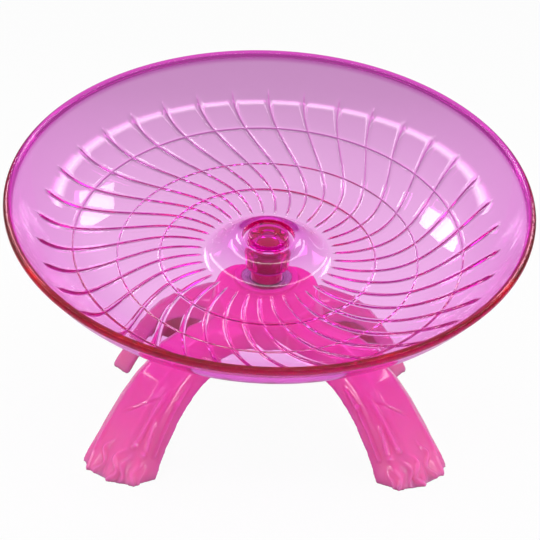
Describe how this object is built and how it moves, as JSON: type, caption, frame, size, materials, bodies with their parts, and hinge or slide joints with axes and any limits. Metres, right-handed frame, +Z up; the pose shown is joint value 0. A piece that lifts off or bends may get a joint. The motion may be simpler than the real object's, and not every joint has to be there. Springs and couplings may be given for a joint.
{
  "type": "rodent exercise wheel",
  "caption": "Leaning clear dish with spiral ribs that a small rodent runs in; it spins on a ball bearing over an arched root-like stand.",
  "frame": {"origin": "on the ground under the middle of the object's box", "axes": "+Z up, the dish's low front edge towards -Y, +X to the right seen from the front"},
  "size_m": [0.18, 0.1692, 0.1172],
  "materials": {
    "clear_pink": "clear gloss",
    "core_red": "gloss",
    "bearing_steel": "polished",
    "shield_steel": "satin",
    "screw_steel": "zinc plated",
    "stand_pink": "translucent gloss"
  },
  "bodies": {
    "stand": {"stand": "stand_pink", "bearing_outer_ring": "bearing_steel", "bearing_top_shield": "shield_steel", "bearing_bottom_shield": "shield_steel"},
    "disc": {"running_disc": "clear_pink", "spindle": "core_red", "bearing_inner_ring": "bearing_steel", "spindle_washer": "screw_steel", "spindle_screw": "screw_steel"}
  },
  "joints": [
    {"name": "disc_spin", "type": "hinge", "parent": "stand", "child": "disc", "pos_m": [0, 0.00889, 0.061], "axis": [0, -0.342, 0.9397], "continuous": true}
  ]
}
